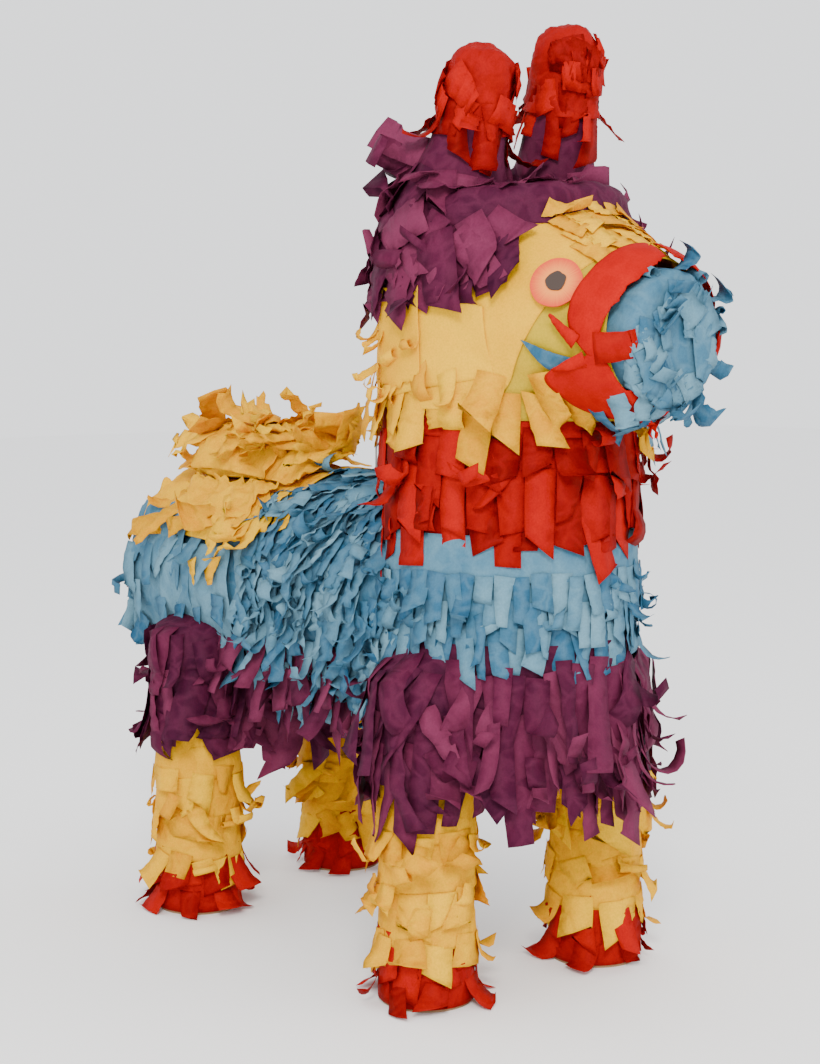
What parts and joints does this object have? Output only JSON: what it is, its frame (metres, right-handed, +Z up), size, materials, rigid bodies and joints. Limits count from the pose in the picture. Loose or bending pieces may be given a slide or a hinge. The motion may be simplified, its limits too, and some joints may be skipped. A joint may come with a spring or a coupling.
{
  "type": "pinata",
  "caption": "Donkey pinata of rolled board tubes and discs covered in bands of cut tissue-paper fringe, with a filling flap in its back and a wire hanging loop.",
  "frame": {"origin": "centre of the bounding box's footprint, on the surface that the four hooves stand on", "axes": "+Z up, the donkey faces -Y, +X is the donkey's own left side"},
  "size_m": [0.202, 0.468, 0.5643],
  "materials": {
    "board": "plain brown board",
    "tissue_red": "crumpled tissue paper, cut into fringe",
    "tissue_yellow": "crumpled tissue paper, cut into fringe",
    "tissue_blue": "crumpled tissue paper, cut into fringe",
    "tissue_purple": "crumpled tissue paper, cut into fringe",
    "eye_card": "smooth printed card",
    "pupil_card": "dark card",
    "wire": "plain steel wire",
    "stick": "raw dowel"
  },
  "bodies": {
    "donkey": {"barrel_fringe_blue": "tissue_blue", "barrel_tube": "board", "chest_disc": "board", "chest_fringe_blue": "tissue_blue", "chest_fringe_purple": "tissue_purple", "crown_cone": "board", "crown_disc": "board", "crown_fringe_purple": "tissue_purple", "ear_cap_left": "tissue_red", "ear_cap_right": "tissue_red", "ear_cone_left": "board", "ear_cone_right": "board", "ear_sleeve_left": "tissue_purple", "ear_sleeve_right": "tissue_purple", "eye_disc_left": "eye_card", "eye_disc_right": "eye_card", "face_cover_yellow": "tissue_yellow", "hair_fringe_purple": "tissue_purple", "halter_red": "tissue_red", "hanger_stick": "stick", "hanging_wire": "wire", "hoof_wrap_front_left": "tissue_red", "hoof_wrap_front_right": "tissue_red", "hoof_wrap_rear_left": "tissue_red", "hoof_wrap_rear_right": "tissue_red", "leg_fringe_front_left": "tissue_yellow", "leg_fringe_front_right": "tissue_yellow", "leg_fringe_rear_left": "tissue_yellow", "leg_fringe_rear_right": "tissue_yellow", "leg_roll_front_left": "board", "leg_roll_front_right": "board", "leg_roll_rear_left": "board", "leg_roll_rear_right": "board", "muzzle_disc": "board", "muzzle_fringe_blue": "tissue_blue", "muzzle_roll": "board", "neck_fringe_red": "tissue_red", "neck_tube": "board", "pupil_left": "pupil_card", "pupil_right": "pupil_card", "rump_cover_blue": "tissue_blue", "rump_disc": "board", "rump_fringe_purple": "tissue_purple", "saddle_yellow": "tissue_yellow", "snout_cone": "board", "snout_cover_yellow": "tissue_yellow", "sole_disc_front_left": "board", "sole_disc_front_right": "board", "sole_disc_rear_left": "board", "sole_disc_rear_right": "board", "tail_core": "board", "tail_tassel_red": "tissue_red"},
    "flap": {"fill_flap": "board", "flap_cover_yellow": "tissue_yellow"}
  },
  "joints": [
    {"name": "flap_hinge", "type": "hinge", "parent": "donkey", "child": "flap", "pos_m": [0.034, 0.106, 0.28747], "axis": [0, 1, 0], "range_deg": [0, 110]}
  ]
}
